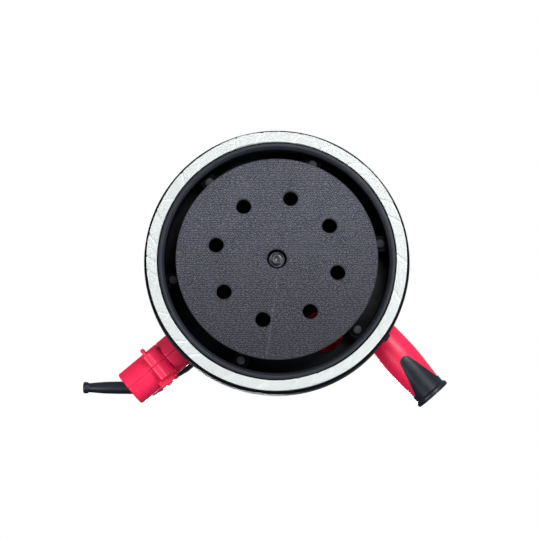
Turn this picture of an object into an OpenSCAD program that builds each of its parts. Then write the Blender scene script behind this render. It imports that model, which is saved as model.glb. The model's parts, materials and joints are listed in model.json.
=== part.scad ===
// Two-handled orbital wall sander. The pad's hook face lies at z = 0 and the motor shaft
// runs up the Z axis. The hose side is at +X -Y, the auxiliary handle at -X -Y.

/* [Pad] */
// Diameter of the sanding pad
pad_d = 213.6; // [205:0.2:216]
// Number of dust holes in the pad
pad_holes = 8; // [6, 8, 10]
// Diameter of each dust hole
pad_hole_d = 16.4; // [12:0.2:17]
// Diameter of the circle through the dust holes
pad_hole_circle = 132; // [120:1:140]
// Diameter of the orbit, twice the pad's offset from the motor axis
orbit_d = 3; // [2:0.5:4]

/* [Brush ring and hood] */
// Gap between the pad's edge and the lip of the brush ring
pad_gap = 12; // [10.5:0.1:13]
// Width of the lip inside the bristles
lip_w = 8; // [6:0.1:9]
// Width of the band of bristles
bristle_w = 11.1; // [9:0.1:13]
// Height of the hood's flat roof above the pad face
roof_z = 43.5; // [43:0.1:44]

/* [Motor housing] */
// Outer diameter of the motor barrel
barrel_d = 88; // [86:1:90]
// Height of the joint between the barrel and the top cap
barrel_top = 164; // [160:1:168]

/* [Main handle] */
// Direction of the main handle and the dust tube, from +X
main_a = -40; // [-50:1:-30]
// Height of the main handle's axis
main_z = 138; // [134:1:140]
// Outer diameter of the main handle
main_d = 36; // [34:0.5:38]
// Distance from the motor axis to the handle's round end
main_len = 210; // [206:1:214]

/* [Dust tube] */
// Outer diameter of the dust tube
tube_d = 40.4; // [38:0.2:41]
// Distance from the motor axis to the mouth of the hose adapter
tube_end = 208.3; // [200:0.1:215]
// Bore of the hose socket
socket_d = 31; // [29:0.5:32]

/* [Auxiliary handle] */
// Direction of the auxiliary handle, from +X
aux_a = -131.2; // [-140:0.2:-125]
// Distance between the auxiliary handle's axis and the motor axis
aux_off = 40; // [38:0.5:42]
// Height of the auxiliary handle's axis
aux_z = 105; // [103:1:107]
// Distance along the axis to the handle's far end
aux_end = 219.5; // [210:0.5:230]

/* [Cable boot] */
// Length of the boot outside the handle
boot_len = 56; // [45:1:65]
// Bore for the cable
cable_d = 8.2; // [7:0.1:9]

/* [Hidden] */
$fn = 96;

// Colours
red = [0.86, 0.10, 0.20];
black = [0.09, 0.09, 0.11];
rubber_black = [0.13, 0.13, 0.15];
hook_grey = [0.30, 0.30, 0.34];
bristle_white = [0.93, 0.95, 0.94];
steel = [0.70, 0.71, 0.73];
cast_grey = [0.62, 0.63, 0.65];
copper = [0.75, 0.42, 0.22];

// Pad stack
ecc = orbit_d / 2;
pad_r = pad_d / 2;
hook_t = 1.8;
foam_top = 11.8;
plate_top = 16.4;
plate_r = pad_r - 3.5;
pad_hub_z = 19;
recess_r = 10.7;
hole_a = 12.8;
seam_w = 0.3;
seam_a = 8.4;
seam_x = -4.2;
washer_t = 1.8;
bolt_r = 3;
bolt_head_r = 5.5;
bolt_head_h = 5.8;
hex_af = 5;

// Brush ring
lip_r = pad_r + pad_gap;
bristle_in = lip_r + lip_w;
bristle_out = bristle_in + bristle_w;
carrier_r = bristle_out + 1.1;
bristle_tip = 0.3;
channel_z = 16;
carrier_top = 22;
ear_z = 19;
ear_r = 8.3;
post_r = pad_r + 5.2;
post_angles = [-10, 50, 110, 170, -139.6, -70];
post_head_r = 4.6;
post_head_z = [15.3, 18.9];
shoulder_r = 3;
boss_z = 33.5;

// Hood
skirt_in = carrier_r + 0.5;
skirt_out = skirt_in + 1.7;
skirt_flare = 1;
skirt_z = 11;
roof_t = 4;
hood_bore_r = 23;
port_r = 22.3;
port_at = 88;
port_a = -124;
collar_r = [40, 43];
collar_z = 24;
tab_a = -145.3;
tab_w = 8;
tab_out = 2.6;
roof_r = 121;

// Drive
hub_r = 21;
hub_z = [23.5, 46];
cup_z = 41.5;
pad_bearing_z = [24, 39.9];
bearing_r = [6, 9, 13, 16];
ball_gap = 0.05;
low_bearing_z = [50, 60];
top_bearing_z = [156, 163];
top_bearing_r = [4, 5.8, 8.6, 11];
fit_gap = 0.02;
core_z = [84, 124];
core_r = 22.7;
core_bore_r = 7;
slots = 12;
winding_r = [7.6, 19.5];
commutator_r = 11.5;
commutator_z = [136, 151.5];
brush_z = 144;
fan_z = 64;

// Housing
barrel_r = barrel_d / 2;
wall = 3;
barrel_in = barrel_r - wall - 0.5;
flange_r = 54;
flange_z = [48.2, 52];
bracket_z = roof_z + 0.2;
main_r = main_d / 2;
main_screw_r = 49;
cap_h = 14;
cap_seat = 172;
housing_screw_at = [[-36, 57], [-36, 146], [36, 57], [112, 128], [168, 138]];
head_r = 3.4;
pocket_r = 4;
cap_screw_r = 36.2;
corner_a = [45, 135, 225, 315];
switch_ribs = [77.6, 101.8];
board_ribs = [120, 148];
rib_t = 1.6;
dial_at = [62, 147];
dial_r = 12;
trigger_pivot = [68, 125];
switch_x = [77, 104];
grip_x = [106, 160];

// Dust tube
tube_r = tube_d / 2;
tube_z = 64.5;
tube_bore = tube_r - 3;
duct_w = 25;
duct_wall = 2.5;
duct_start = -142;
duct_sweep = main_a + 9 - duct_start;
tube_x = 76;
adapter_x = 155.8;
spigot_r = 18.3;
clamp_screw_z = -21;
lug_z = -8;
clamp_x = 171;

// Clamp bracket
lug_screw = 15.2;

// Boot
boot_y = -129;
boot_x = 163;

// ---- Shared shapes ----

// Points along an arc about [cx, cy]
function arc(cx, cy, r, a0, a1, n) =
    [for (i = [0 : n]) let (a = a0 + (a1 - a0) * i / n) [cx + r * cos(a), cy + r * sin(a)]];

// Corner points of a rectangle with round corners of radius c
function round_box(x0, x1, y0, y1, c) = concat(
    arc(x1 - c, y0 + c, c, -90, 0, 5), arc(x1 - c, y1 - c, c, 0, 90, 5),
    arc(x0 + c, y1 - c, c, 90, 180, 5), arc(x0 + c, y0 + c, c, 180, 270, 5)
);

module ring(r_in, r_out, z0, z1) {
    translate([0, 0, z0]) difference() {
        cylinder(r = r_out, h = z1 - z0);
        translate([0, 0, -1]) cylinder(r = r_in, h = z1 - z0 + 2);
    }
}

// A straight rod along +X
module rod_x(r, x0, x1) {
    translate([x0, 0, 0]) rotate([0, 90, 0]) cylinder(r = r, h = x1 - x0);
}

// A straight rod along +Y
module rod_y(r, y0, y1) {
    translate([0, y0, 0]) rotate([-90, 0, 0]) cylinder(r = r, h = y1 - y0);
}

// Turns [radius, distance] points about the X axis
module turn_x(points) {
    rotate([0, 90, 0]) rotate_extrude() polygon(points);
}

module at_polar(r, a, z = 0) {
    rotate(a) translate([r, 0, z]) children();
}

// Children drawn in the frame of the main handle: X runs outwards along it
module main_frame(z = 0) {
    rotate(main_a) translate([0, 0, z]) children();
}

module aux_frame() {
    rotate(aux_a) translate([0, -aux_off, aux_z]) children();
}

module on_pad_axis() {
    translate([0, ecc, 0]) children();
}

// One side of the plane y = 0, side is 1 or -1
module half(side) {
    intersection() {
        children();
        translate([-300, side > 0 ? 0 : -300, -10]) cube([700, 300, 250]);
    }
}

module ball_row(r_mid, ball_r, z, count) {
    for (i = [0 : count - 1])
        rotate(i * 360 / count) translate([r_mid, 0, z]) sphere(r = ball_r);
}

module bearing_inner(radii, z, rows, count) {
    ring(radii[0], radii[1], z[0], z[1]);
    ball_r = (radii[2] - radii[1]) / 2 - ball_gap;
    step = (z[1] - z[0]) / rows;
    for (i = [0 : rows - 1])
        ball_row((radii[1] + radii[2]) / 2, ball_r, z[0] + (i + 0.5) * step, count);
}

// A round-wire helical spring: rings of points swept up a helix
module coil_spring(r, wire, z0, z1, turns) {
    steps = 10;
    sides = 5;
    n = turns * steps;
    rise = z1 - z0 - 2 * wire;
    points = [for (i = [0 : n], j = [0 : sides - 1])
        let (a = 360 * i / steps, b = 360 * j / sides, rr = r + wire * cos(b))
        [rr * cos(a), rr * sin(a), z0 + wire + rise * i / n + wire * sin(b)]];
    skin = [for (i = [0 : n - 1], j = [0 : sides - 1]) let (k = (j + 1) % sides)
        [i * sides + j, i * sides + k, (i + 1) * sides + k, (i + 1) * sides + j]];
    tail = [for (j = [0 : sides - 1]) sides - 1 - j];
    head = [for (j = [0 : sides - 1]) n * sides + j];
    polyhedron(points, concat(skin, [tail, head]), convexity = 10);
}

// ---- Pad, which turns on the eccentric axis ----

module dust_holes(z0, z1) {
    for (i = [0 : pad_holes - 1])
        at_polar(pad_hole_circle / 2, hole_a + i * 360 / pad_holes, z0)
            cylinder(d = pad_hole_d, h = z1 - z0);
}

// Two half discs that meet at a seam beside the centre
module hook_sheet() {
    color(hook_grey) on_pad_axis() difference() {
        cylinder(r = pad_r, h = hook_t);
        translate([0, 0, -1]) cylinder(r = recess_r, h = hook_t + 2);
        dust_holes(-1, hook_t + 1);
        translate([seam_x, 0, -1]) rotate(seam_a)
            translate([-seam_w / 2, -pad_d, 0]) cube([seam_w, 2 * pad_d, hook_t + 2]);
    }
}

module foam_pad() {
    color(rubber_black) on_pad_axis() difference() {
        rotate_extrude() polygon([
            [recess_r, hook_t], [pad_r, hook_t], [pad_r, 5.5], [pad_r - 1.5, foam_top],
            [recess_r, foam_top]
        ]);
        dust_holes(0, foam_top + 1);
    }
}

module backing_plate() {
    color(black) on_pad_axis() difference() {
        union() {
            rotate_extrude() polygon([
                [bolt_r + 0.3, foam_top], [plate_r, foam_top], [plate_r, plate_top - 2],
                [plate_r - 2, plate_top], [24, plate_top], [20, pad_hub_z],
                [bolt_r + 0.3, pad_hub_z]
            ]);
            for (i = [0 : pad_holes - 1])
                rotate(hole_a + (i + 0.5) * 360 / pad_holes)
                    translate([52, -1.25, plate_top - 1]) cube([46, 2.5, 2.8]);
        }
        dust_holes(foam_top - 1, pad_hub_z + 1);
    }
}

module pad_washer() {
    color(steel) on_pad_axis() ring(bolt_r + 0.3, 8.1, foam_top - washer_t, foam_top);
}

module pad_bolt() {
    head_z = foam_top - washer_t;
    color(steel) on_pad_axis() difference() {
        union() {
            rotate_extrude() polygon([
                [0, head_z - bolt_head_h], [bolt_head_r - 0.6, head_z - bolt_head_h],
                [bolt_head_r, head_z - bolt_head_h + 0.6], [bolt_head_r, head_z], [0, head_z]
            ]);
            translate([0, 0, head_z - 0.5]) cylinder(r = bolt_r, h = 28);
        }
        translate([0, 0, head_z - bolt_head_h - 1])
            cylinder(d = hex_af / cos(30), h = 4.2, $fn = 6);
    }
}

module pad_spindle() {
    color(steel) on_pad_axis() difference() {
        rotate_extrude() polygon([
            [0, pad_hub_z], [12, pad_hub_z], [12, pad_hub_z + 3], [8, pad_hub_z + 4.9],
            [bearing_r[0] - fit_gap, pad_hub_z + 4.9], [bearing_r[0] - fit_gap, 40.6], [0, 40.6]
        ]);
        translate([0, 0, pad_hub_z - 1]) cylinder(r = bolt_r + 0.05, h = 20.5);
    }
}

module pad_bearing_inner() {
    color(steel) on_pad_axis() bearing_inner(bearing_r, pad_bearing_z, 2, 11);
}

// ---- Spindle, which turns on the motor axis ----

module pad_bearing_outer() {
    color(steel) on_pad_axis() ring(bearing_r[2], bearing_r[3], pad_bearing_z[0], pad_bearing_z[1]);
}

module eccentric_hub() {
    color(cast_grey) difference() {
        translate([0, 0, hub_z[0]]) cylinder(r = hub_r, h = hub_z[1] - hub_z[0]);
        on_pad_axis() translate([0, 0, hub_z[0] - 1])
            cylinder(r = bearing_r[3] + fit_gap, h = cup_z - hub_z[0] + 1);
        cylinder(r = bearing_r[0] + fit_gap, h = hub_z[1] + 1);
    }
}

// Half ring on the side away from the pad's offset
module counterweight() {
    color(cast_grey) rotate(180) rotate_extrude(angle = 180)
        polygon([[hub_r + 0.05, 27], [37.5, 27], [37.5, 35.5], [36, 37], [hub_r + 0.05, 37]]);
}

module rotor_shaft() {
    r = bearing_r[0];
    top_r = top_bearing_r[0];
    color(steel) rotate_extrude() polygon([
        [0, cup_z + 0.3], [r - 0.5, cup_z + 0.3], [r, cup_z + 0.8], [r, 78], [core_bore_r, 78],
        [core_bore_r, 133], [r, 133], [r, 153], [top_r, 153], [top_r, 165.5], [top_r - 0.5, 166], [0, 166]
    ]);
}

module lower_bearing_inner() {
    r = bearing_r;
    color(steel) bearing_inner([r[0] + fit_gap, r[1], r[2]], low_bearing_z, 1, 10);
}

module upper_bearing_inner() {
    r = top_bearing_r;
    color(steel) bearing_inner([r[0] + fit_gap, r[1], r[2]], top_bearing_z, 1, 9);
}

module cooling_fan() {
    color(rubber_black) difference() {
        union() {
            translate([0, 0, fan_z]) cylinder(r = 36, h = 2);
            translate([0, 0, fan_z]) cylinder(r = 12, h = 10);
            for (i = [0 : 10])
                rotate(i * 360 / 11) translate([11, 0, fan_z + 1]) rotate(-24)
                    cube([24, 1.6, 8.5]);
        }
        translate([0, 0, fan_z - 1]) cylinder(r = bearing_r[0] + fit_gap, h = 12);
    }
}

module armature_core() {
    color(cast_grey) difference() {
        translate([0, 0, core_z[0]]) cylinder(r = core_r, h = core_z[1] - core_z[0]);
        cylinder(r = core_bore_r + fit_gap, h = 150);
        for (i = [0 : slots - 1])
            rotate(i * 360 / slots) translate([15, -1.2, core_z[0] - 1]) cube([9, 2.4, 42]);
    }
}

module winding_ring(z0, z1) {
    c = 3;
    in = winding_r[0];
    out = winding_r[1] - c;
    rotate_extrude() polygon(concat(
        [[in, z0], [out, z0]], arc(out, z0 + c, c, -90, 0, 6), arc(out, z1 - c, c, 0, 90, 6), [[in, z1]]
    ));
}

module armature_windings() {
    color(copper) {
        winding_ring(core_z[1] + 0.1, core_z[1] + 8.6);
        winding_ring(core_z[0] - 6, core_z[0] - 0.1);
    }
}

module commutator() {
    color(copper) difference() {
        ring(bearing_r[0] + fit_gap, commutator_r, commutator_z[0], commutator_z[1]);
        for (i = [0 : slots - 1])
            rotate((i + 0.5) * 360 / slots)
                translate([commutator_r - 2, -0.3, commutator_z[0] - 1]) cube([3, 0.6, 18]);
    }
}

// ---- Motor parts that stay still ----

module lower_bearing_outer() {
    color(steel) ring(bearing_r[2], bearing_r[3], low_bearing_z[0], low_bearing_z[1]);
}

module upper_bearing_outer() {
    color(steel) ring(top_bearing_r[2], top_bearing_r[3], top_bearing_z[0], top_bearing_z[1]);
}

module main_screw_places() {
    for (a = corner_a)
        rotate(main_a + a) translate([main_screw_r, 0, 0]) children();
}

module bearing_bracket() {
    seat = bearing_r[3] + fit_gap;
    color(cast_grey) difference() {
        rotate_extrude() polygon([
            [24, bracket_z], [flange_r, bracket_z], [flange_r, flange_z[0] - 0.1],
            [28, flange_z[0] - 0.1], [23, 51], [20.5, 61], [seat, 61], [seat, 50], [10, 50],
            [10, 47.5], [24, 47.5]
        ]);
        main_screw_places() translate([0, 0, 40]) cylinder(r = 2.3, h = 20);
    }
}

module stator_core() {
    color(cast_grey) difference() {
        translate([0, 0, core_z[0]]) cylinder(r = 38, h = core_z[1] - core_z[0]);
        translate([0, 0, core_z[0] - 1]) cylinder(r = core_r + 0.6, h = 42);
        for (s = [-1, 1])
            translate([s * 33 - 6, -7, core_z[0] - 1]) cube([12, 14, 42]);
    }
}

module field_coils() {
    color(copper) for (a = [0, 180], z = [core_z[0] - 7.2, core_z[1] + 0.2])
        rotate(a + 35) rotate_extrude(angle = 110)
            polygon(round_box(23.5, 37, z, z + 7, 2.5));
}

module brush_holders() {
    color([0.78, 0.62, 0.30]) main_frame(brush_z) for (s = [-1, 1]) difference() {
        translate([-5, s > 0 ? 14 : -37, -6.5]) cube([10, 23, 13]);
        translate([-3.6, s > 0 ? 13 : -38, -5.1]) cube([7.2, 25, 10.2]);
    }
}

module carbon_brushes() {
    color([0.2, 0.2, 0.2]) main_frame(brush_z) for (s = [-1, 1])
        translate([-3.4, s > 0 ? 12 : -28, -4.9]) cube([6.8, 16, 9.8]);
}

module brush_caps() {
    color(black) main_frame(brush_z) for (s = [0, 180]) rotate(s) difference() {
        union() {
            rod_y(6.9, 38, barrel_r - 0.5);
            rod_y(8.2, barrel_r + 0.05, barrel_r + 1.6);
            rod_y(6.9, barrel_r - 1, barrel_r + 1);
        }
        translate([-5, barrel_r + 0.6, -0.8]) cube([10, 3, 1.6]);
    }
}

// ---- Hood and brush ring ----

module post_places() {
    for (a = post_angles) at_polar(post_r, a) children();
}

module hood() {
    edge = 6;
    color(black) difference() {
        union() {
            rotate_extrude() polygon(concat(
                [[skirt_in, skirt_z], [skirt_out - 0.5, skirt_z], [skirt_out, skirt_z + 0.5],
                    [skirt_out + skirt_flare, 34]],
                arc(skirt_out + skirt_flare - edge, 36, edge, 0, 75, 5),
                [[roof_r, roof_z], [hood_bore_r, roof_z], [hood_bore_r, roof_z - roof_t],
                    [collar_r[0], roof_z - roof_t], [collar_r[0], collar_z],
                    [collar_r[1], collar_z], [collar_r[1], roof_z - roof_t],
                    [roof_r, roof_z - roof_t]],
                arc(skirt_in - edge, 33, edge, 75, 0, 5)
            ));
            post_places() translate([0, 0, boss_z]) cylinder(r = 6, h = roof_z - roof_t - boss_z + 1);
            main_screw_places() translate([0, 0, 30]) cylinder(r = 5, h = 10);
            rotate(tab_a) translate([0, 0, 15]) linear_extrude(20)
                polygon(round_box(skirt_in + 0.4, skirt_out + tab_out, -tab_w / 2, tab_w / 2, 1.2));
        }
        at_polar(port_at, port_a, roof_z - roof_t - 1) cylinder(r = port_r, h = roof_t + 2);
        post_places() translate([0, 0, boss_z - 1]) cylinder(r = 2.5, h = 9);
        main_screw_places() translate([0, 0, 31]) cylinder(r = 2, h = 20);
        for (p = duct_screw_at) at_polar(p[0], p[1], roof_z - 3) cylinder(r = 1.5, h = 5);
    }
}

module pad_brake_ring() {
    color(rubber_black) ring(collar_r[0], collar_r[1], plate_top + 0.4, collar_z - 0.05);
}

module brush_ring_carrier() {
    color(black) difference() {
        union() {
            rotate_extrude() polygon([
                [lip_r, carrier_top], [lip_r, 6.5], [lip_r + 2.8, 2.8], [bristle_in - 0.8, 2.8],
                [bristle_in - 0.1, 3.5], [bristle_in - 0.1, channel_z],
                [bristle_out + 0.1, channel_z], [bristle_out + 0.1, skirt_z], [carrier_r, skirt_z],
                [carrier_r, carrier_top]
            ]);
            post_places() {
                translate([0, 0, ear_z]) cylinder(r = ear_r, h = carrier_top - ear_z);
                translate([0, -ear_r, ear_z]) cube([9, 2 * ear_r, carrier_top - ear_z]);
            }
        }
        post_places() translate([0, 0, ear_z - 1]) cylinder(r = shoulder_r + 0.3, h = 5);
    }
}

module bristles() {
    color(bristle_white) ring(bristle_in, bristle_out, bristle_tip, channel_z - 0.05);
}

module ring_screws() {
    color(steel) post_places() rotate_extrude() polygon([
        [0, post_head_z[0]], [post_head_r - 0.8, post_head_z[0]],
        [post_head_r, post_head_z[0] + 0.8], [post_head_r, post_head_z[1]],
        [shoulder_r, post_head_z[1]], [shoulder_r, boss_z - 0.1], [2.4, boss_z - 0.1], [2.4, 41],
        [0, 41]
    ]);
}

module ring_springs() {
    color(steel) post_places()
        coil_spring(4.4, 0.5, carrier_top + 0.05, boss_z - 0.1, 5);
}

// ---- Dust duct ----

duct_screw_off = duct_w + 4.1;
duct_screw_at = [
    [port_at + duct_screw_off, -128], [port_at + duct_screw_off, -80], [port_at - duct_screw_off, -104]
];

module duct_section(inset) {
    r = duct_w - inset;
    c = 11 - inset;
    top = tube_z + tube_r - inset;
    low = roof_z + 0.2 - (inset > 0 ? 1 : 0);
    polygon(concat(
        [[port_at - r, low], [port_at + r, low]],
        arc(port_at + r - c, top - c, c, 0, 90, 6),
        arc(port_at - r + c, top - c, c, 90, 180, 6)
    ));
}

module duct_body() {
    difference() {
        union() {
            rotate(duct_start) rotate_extrude(angle = duct_sweep) duct_section(0);
            main_frame(tube_z) {
                rod_x(tube_r, tube_x, adapter_x - 0.3);
                rod_x(spigot_r, 150, 174);
            }
            for (p = duct_screw_at) at_polar(p[0], p[1], roof_z + 0.2) {
                cylinder(r = 4.5, h = 3);
                translate([p[0] > port_at ? -6 : 0, -4.5, 0]) cube([6, 9, 3]);
            }
        }
        rotate(duct_start + 1.6) rotate_extrude(angle = duct_sweep - 3.2)
            duct_section(duct_wall);
        main_frame(tube_z) rod_x(tube_bore - 1.2, tube_x + 2, 180);
        for (p = duct_screw_at) at_polar(p[0], p[1], roof_z) cylinder(r = 1.9, h = 5);
    }
}

module duct_left_shell() {
    color(red) rotate(main_a) half(-1) rotate(-main_a) duct_body();
}

module duct_right_shell() {
    color(red) rotate(main_a) half(1) rotate(-main_a) duct_body();
}

module duct_screws() {
    color(steel) for (p = duct_screw_at) at_polar(p[0], p[1], roof_z - 2.8) {
        cylinder(r = 1.45, h = 7);
        translate([0, 0, 6.05]) cylinder(r = 3.2, h = 2);
    }
}

module adapter_body() {
    lug_y = -23.8;
    difference() {
        union() {
            turn_x([
                [0, adapter_x], [tube_r, adapter_x], [tube_r, tube_end - 1.2],
                [tube_r - 1.2, tube_end], [0, tube_end]
            ]);
            translate([0, 15.6, 0]) rotate([90, 0, 0]) linear_extrude(32.8) polygon(concat(
                [[adapter_x + 0.6, -12], [adapter_x + 1.6, -20.4]],
                arc(clamp_x - 2.4, -23.6, 3.2, 235, 270, 3),
                arc(clamp_x + 1, -22.6, 4.2, 270, 345, 5), [[clamp_x + 5.4, -12]]
            ));
            translate([clamp_x, 0, -10]) {
                rod_y(2.3, 14, 22.2);
                translate([0, 22.2, 0]) sphere(r = 2.6);
            }
            translate([clamp_x - 8, lug_y, -13]) cube([17, 12, 12]);
        }
        rod_x(spigot_r + 0.2, adapter_x - 1, 181);
        rod_x(17.8, 180, tube_end - 1.6);
        rod_x(16.2, 200, tube_end + 1);
        translate([clamp_x, 0, clamp_screw_z]) rod_y(1.75, -25, 10);
        translate([clamp_x, 0, lug_z]) rod_y(3.4, lug_y - 1, lug_y + 2.4);
    }
}

module adapter_left_shell() {
    color(red) main_frame() half(-1) translate([0, 0, tube_z]) adapter_body();
}

module adapter_right_shell() {
    color(red) main_frame() half(1) translate([0, 0, tube_z]) adapter_body();
}

// Black rubber sleeve that grips the hose
module hose_socket() {
    color(rubber_black) main_frame(tube_z) difference() {
        rod_x(17.75, 181.2, tube_end - 1.7);
        rod_x(socket_d / 2, 180, tube_end);
    }
}

module adapter_screw() {
    color(steel) main_frame(tube_z) {
        translate([clamp_x, 0, clamp_screw_z]) rod_y(1.65, -16, 9.5);
        translate([clamp_x, 0, lug_z]) rod_y(3.3, -23.4, -21.5);
    }
}

// ---- Motor housing with the main handle ----

// The main handle about its own axis, with a full round end. Each end point is the change of
// radius from the straight stretch, and the distance back from the tip.
module handle_form(inset) {
    end = [[0, 52], [1, 42], [1, 34], [0.6, 28], [-0.2, 22], [-1.4, 16], [-3.4, 10.5], [-6.5, 5.5]];
    turn_x(concat(
        [[0, 0], [main_r - inset, 0]], [for (p = end) [main_r + p[0] - inset, main_len - p[1]]],
        [[main_r - 10.5 - inset, main_len - 1.8 - inset / 2], [0, main_len - inset]]
    ));
}

module housing_outside() {
    translate([0, 0, flange_z[0]]) cylinder(r = flange_r, h = flange_z[1] - flange_z[0]);
    translate([0, 0, flange_z[0]]) cylinder(r = barrel_r, h = barrel_top - flange_z[0]);
    translate([0, 0, main_z]) {
        handle_form(0);
        translate([38, 0, 0]) rotate([0, 90, 0]) cylinder(r1 = main_r + 5, r2 = main_r, h = 12);
    }
}

module housing_inside() {
    translate([0, 0, flange_z[0] - 1]) cylinder(r = barrel_in, h = barrel_top - flange_z[0] + 2);
    translate([0, 0, main_z]) handle_form(wall - 0.5);
}

// Distances of a clamshell screw from its shell's own axis, and of its seat from the joint plane
function shell_r(p) = p[0] > 100 ? main_r : barrel_r;
function off_axis(p) = p[0] > 100 ? abs(p[1] - main_z) : abs(p[0]);
function seat(p) = sqrt(pow(shell_r(p), 2) - pow(off_axis(p) + pocket_r, 2)) - 3;

module cap_screw_places() {
    for (a = corner_a) rotate(a) translate([cap_screw_r, 0, 0]) children();
}

module housing_bosses() {
    for (p = housing_screw_at)
        translate([p[0], 0, p[1]]) rod_y(pocket_r + 1.4, -seat(p) - 1, seat(p) + 1);
    for (side = [-1, 1]) {
        translate([dial_at[0], side * 10.5, dial_at[1]]) rod_y(4, -5.5, 5.5);
        translate([trigger_pivot[0], side * 10.5, trigger_pivot[1]]) rod_y(3.6, -3.4, 3.4);
    }
    cap_screw_places() translate([0, 0, 153]) cylinder(r = 5, h = barrel_top - 153);
}

// Ribs across the handle that hold the switch and the control board
module handle_ribs() {
    for (x = switch_ribs) difference() {
        translate([0, 0, main_z]) rod_x(main_r - 1, x, x + rib_t);
        translate([x - 1, -9.1, 128.9]) cube([4, 18.2, 17.2]);
        translate([x - 1, -7, 110]) cube([4, 14, 20]);
    }
    for (x = board_ribs) difference() {
        translate([0, 0, main_z]) rod_x(main_r - 1, x, x + rib_t);
        translate([x - 1, -8, 130]) cube([4, 16, 20]);
        translate([x - 1, -11.1, 141.9]) cube([4, 22.2, 1.8]);
    }
}

module stator_ribs() {
    for (i = [0 : 7])
        rotate(22.5 + 45 * i) translate([38.1, -2, 86]) cube([3, 4, 36]);
}

module housing_openings() {
    for (p = housing_screw_at) translate([p[0], 0, p[1]]) {
        rod_y(1.9, -seat(p) - 2, seat(p) - 2);
        rod_y(pocket_r, -60, -seat(p));
    }
    for (a = [0 : 4], s = [0, 180])
        rotate(60 + 15 * a + s) translate([barrel_in - 5, -1.8, 60]) cube([20, 3.6, 15]);
    translate([0, 0, brush_z]) rod_y(7.1, -60, 60);
    for (a = corner_a)
        rotate(a) translate([main_screw_r, 0, flange_z[0] - 1]) cylinder(r = 2.3, h = 10);
    cap_screw_places() translate([0, 0, 154]) cylinder(r = 1.5, h = 20);
    translate([dial_at[0] - dial_r - 0.8, -4.2, main_z - 4]) cube([2 * dial_r + 1.6, 8.4, 30]);
    translate([dial_at[0], 0, dial_at[1]]) rod_y(2.05, -9.7, 9.7);
    translate([trigger_pivot[0], 0, trigger_pivot[1]]) rod_y(1.57, -10.7, 10.7);
    translate([60, -7, main_z - 30]) cube([49, 14, 20]);
    translate([88, 0, main_z]) rod_y(5.8, -30, -9.5);
    rotate(-main_a) translate([boot_x - 30, boot_y, main_z]) rod_x(7.3, 0, 60);
}

module housing_body() {
    difference() {
        union() {
            difference() {
                housing_outside();
                housing_inside();
            }
            intersection() {
                union() {
                    housing_bosses();
                    handle_ribs();
                }
                housing_outside();
            }
            stator_ribs();
        }
        housing_openings();
    }
}

module housing_left() {
    color(red) main_frame() half(-1) housing_body();
}

module housing_right() {
    color(red) main_frame() half(1) housing_body();
}

// Clamshell screws, with heads on the -Y side
module housing_screws() {
    color(steel) main_frame() for (p = housing_screw_at)
        translate([p[0], -seat(p), p[1]]) difference() {
            union() {
                rod_y(1.8, 0, 2 * seat(p) - 2.5);
                rod_y(head_r, -2, -0.05);
            }
            translate([0, -2.5, 0]) rotate([-90, 0, 0]) cylinder(d = 3.6, h = 2, $fn = 6);
        }
}

module main_screws() {
    color(steel) main_screw_places() {
        translate([0, 0, 34]) cylinder(r = 1.95, h = flange_z[1] - 34);
        difference() {
            translate([0, 0, flange_z[1] + 0.05]) cylinder(r = 3.8, h = 3.4);
            translate([0, 0, flange_z[1] + 1.5]) cylinder(d = 3.5, h = 3, $fn = 6);
        }
    }
}

module top_cap() {
    base = barrel_top + 0.2;
    top = barrel_top + cap_h;
    low = 154;
    seat_r = top_bearing_r[3] + fit_gap;
    color(black) difference() {
        union() {
            rotate_extrude() polygon(concat(
                [[0, top], [32, top]], arc(32, top - 12, 12, 84, 6, 6),
                [[barrel_r, base], [barrel_in - 2.3, base], [barrel_in - 2.3, base + 5],
                    [30, top - 3.5], [14, top - 3.5], [14, low], [seat_r, low],
                    [seat_r, top_bearing_z[1] + 0.2], [6, top_bearing_z[1] + 0.2], [6, top - 3.5],
                    [0, top - 3.5]]
            ));
            rotate(main_a) cap_screw_places() translate([0, 0, base]) cylinder(r = 5, h = 9);
        }
        for (i = [0 : 17])
            rotate(i * 20 + 10) translate([16, -1.4, top - 6]) cube([12, 2.8, 8]);
        rotate(main_a) cap_screw_places() {
            translate([0, 0, cap_seat]) cylinder(r = pocket_r, h = 9);
            translate([0, 0, base - 1]) cylinder(r = 1.7, h = 20);
        }
    }
}

module cap_screws() {
    color(steel) rotate(main_a) cap_screw_places() difference() {
        union() {
            translate([0, 0, 155]) cylinder(r = 1.45, h = cap_seat - 154.5);
            translate([0, 0, cap_seat + 0.05]) cylinder(r = head_r, h = 2);
        }
        translate([0, 0, cap_seat + 0.8]) cylinder(d = 3.6, h = 2, $fn = 6);
    }
}

// Soft sleeve over the middle of the main handle
module handle_grip() {
    color(rubber_black) main_frame(main_z) difference() {
        turn_x([
            [0, grip_x[0]], [main_r + 0.6, grip_x[0]], [main_r + 2.1, grip_x[0] + 4],
            [main_r + 2.1, grip_x[1] - 12], [main_r + 0.4, grip_x[1]], [0, grip_x[1]]
        ]);
        rod_x(main_r + 0.05, grip_x[0] - 1, grip_x[1] + 1);
        translate([112, 0, 128 - main_z]) rod_y(4.2, -40, -5);
        translate([60, -7, -30]) cube([49, 14, 20]);
    }
}

module trigger() {
    color(black) main_frame() difference() {
        translate([0, 6.2, 0]) rotate([90, 0, 0]) linear_extrude(12.4) polygon(concat(
            [[64, 128], [71, 128], [74, 122], [104, 122.5], [107, 119]],
            arc(98, 118, 7, -10, -80, 4), arc(82, 180, 70, -84, -100, 4), [[64, 116]]
        ));
        translate([trigger_pivot[0], 0, trigger_pivot[1]]) rod_y(1.6, -10, 10);
    }
}

module trigger_pin() {
    color(steel) main_frame() translate([trigger_pivot[0], 0, trigger_pivot[1]])
        rod_y(1.53, -10.5, 10.5);
}

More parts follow.
